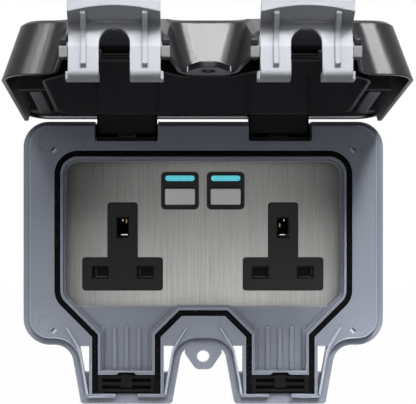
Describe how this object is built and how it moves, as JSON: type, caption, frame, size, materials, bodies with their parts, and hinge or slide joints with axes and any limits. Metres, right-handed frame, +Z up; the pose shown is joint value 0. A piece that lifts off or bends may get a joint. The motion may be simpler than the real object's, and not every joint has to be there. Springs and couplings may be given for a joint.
{
  "type": "outdoor weatherproof socket",
  "caption": "Wall-mounted weatherproof twin power socket with a hinged cover, snap latches, cable spouts, a steel faceplate and push-button switches.",
  "frame": {"origin": "centre of the back face that lies on the wall, midway between the upper and lower fixing holes", "axes": "+Z up, -Y out of the wall towards the user, +X to the right as seen from the front"},
  "size_m": [0.1744, 0.1834, 0.1746],
  "materials": {
    "box_plastic": "fine moulded grain",
    "gasket_rubber": "matt",
    "frame_plastic": "fine moulded grain",
    "seal_foam": "fine-celled foam",
    "seal_rubber": "matt",
    "screw_steel": "plated",
    "cap_plastic": "fine moulded grain",
    "steel_face": "brushed upright",
    "insert_plastic": "satin",
    "module_plastic": "satin",
    "contact_brass": "bright",
    "bezel_plastic": "satin",
    "light_lens": "lit from behind",
    "key_silver": "silver lacquer",
    "board_laminate": "satin",
    "switch_plastic": "matt",
    "lid_plastic": "polished outside, fine grain inside",
    "latch_plastic": "satin"
  },
  "bodies": {
    "housing": {"back_box": "box_plastic", "box_gasket": "gasket_rubber", "front_frame": "frame_plastic", "lid_seal": "seal_foam", "cable_seal_left": "seal_rubber", "cable_seal_right": "seal_rubber", "frame_screws": "screw_steel", "screw_caps": "cap_plastic", "steel_plate": "steel_face", "socket_insert_left": "insert_plastic", "socket_insert_right": "insert_plastic", "socket_module": "module_plastic", "shutter_spring_left": "screw_steel", "shutter_spring_right": "screw_steel", "live_contacts": "contact_brass", "neutral_contacts": "contact_brass", "earth_contacts": "contact_brass", "terminal_screws": "contact_brass", "module_screws": "screw_steel", "button_bezel_left": "bezel_plastic", "button_bezel_right": "bezel_plastic", "light_bar_left": "light_lens", "light_bar_right": "light_lens", "control_board": "board_laminate", "tact_switches": "switch_plastic", "hinge_pins": "screw_steel"},
    "lid": {"lid_shell": "lid_plastic", "lid_cable_seal_left": "seal_rubber", "lid_cable_seal_right": "seal_rubber"},
    "left_latch": {"latch_left": "latch_plastic"},
    "right_latch": {"latch_right": "latch_plastic"},
    "left_key": {"button_key_left": "key_silver"},
    "right_key": {"button_key_right": "key_silver"},
    "left_shutter": {"shutter_left": "insert_plastic"},
    "right_shutter": {"shutter_right": "insert_plastic"}
  },
  "joints": [
    {"name": "lid_hinge", "type": "hinge", "parent": "housing", "child": "lid", "pos_m": [0, -0.0431, 0.0458], "axis": [1, 0, 0], "range_deg": [-5, 97.5]},
    {"name": "left_latch_hinge", "type": "hinge", "parent": "lid", "child": "left_latch", "pos_m": [-0.0372, -0.17319, 0.07432], "axis": [1, 0, 0], "range_deg": [-35, 10]},
    {"name": "right_latch_hinge", "type": "hinge", "parent": "lid", "child": "right_latch", "pos_m": [0.0372, -0.17319, 0.07432], "axis": [1, 0, 0], "range_deg": [-35, 10]},
    {"name": "left_key_press", "type": "slide", "parent": "housing", "child": "left_key", "axis": [0, 1, 0], "range_m": [0, 0.001], "stiffness_N_per_m": 500, "springref_m": -0.001},
    {"name": "right_key_press", "type": "slide", "parent": "housing", "child": "right_key", "axis": [0, 1, 0], "range_m": [0, 0.001], "stiffness_N_per_m": 500, "springref_m": -0.001},
    {"name": "left_shutter_slide", "type": "slide", "parent": "housing", "child": "left_shutter", "axis": [0, 0, -1], "range_m": [0, 0.006], "stiffness_N_per_m": 60, "springref_m": -0.002, "deforming": ["shutter_spring_left"]},
    {"name": "right_shutter_slide", "type": "slide", "parent": "housing", "child": "right_shutter", "axis": [0, 0, -1], "range_m": [0, 0.006], "stiffness_N_per_m": 60, "springref_m": -0.002, "deforming": ["shutter_spring_right"]}
  ]
}
